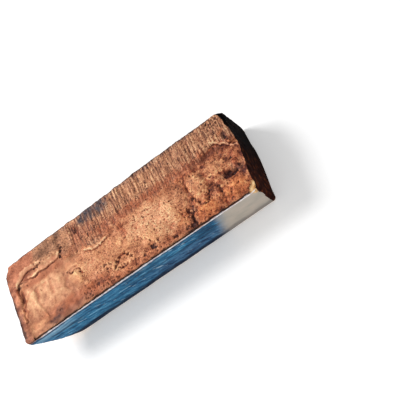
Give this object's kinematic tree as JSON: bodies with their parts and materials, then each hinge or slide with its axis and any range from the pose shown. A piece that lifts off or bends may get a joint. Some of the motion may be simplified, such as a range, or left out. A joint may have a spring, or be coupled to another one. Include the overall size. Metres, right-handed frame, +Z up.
{
  "type": "master alloy ingot",
  "caption": "Long copper alloy casting with a rough, folded top face, one sloped end and one upright end, kept as stock to be melted into other alloys.",
  "frame": {"origin": "middle of the bar's length and width, on the plane of its base", "axes": "+X along the bar from the sloped toe to the upright heel, +Z up out of the rough face"},
  "size_m": [0.2015, 0.065, 0.0357],
  "materials": {
    "cast_copper": "satin"
  },
  "bodies": {
    "root": {"ingot": "cast_copper"}
  },
  "joints": []
}
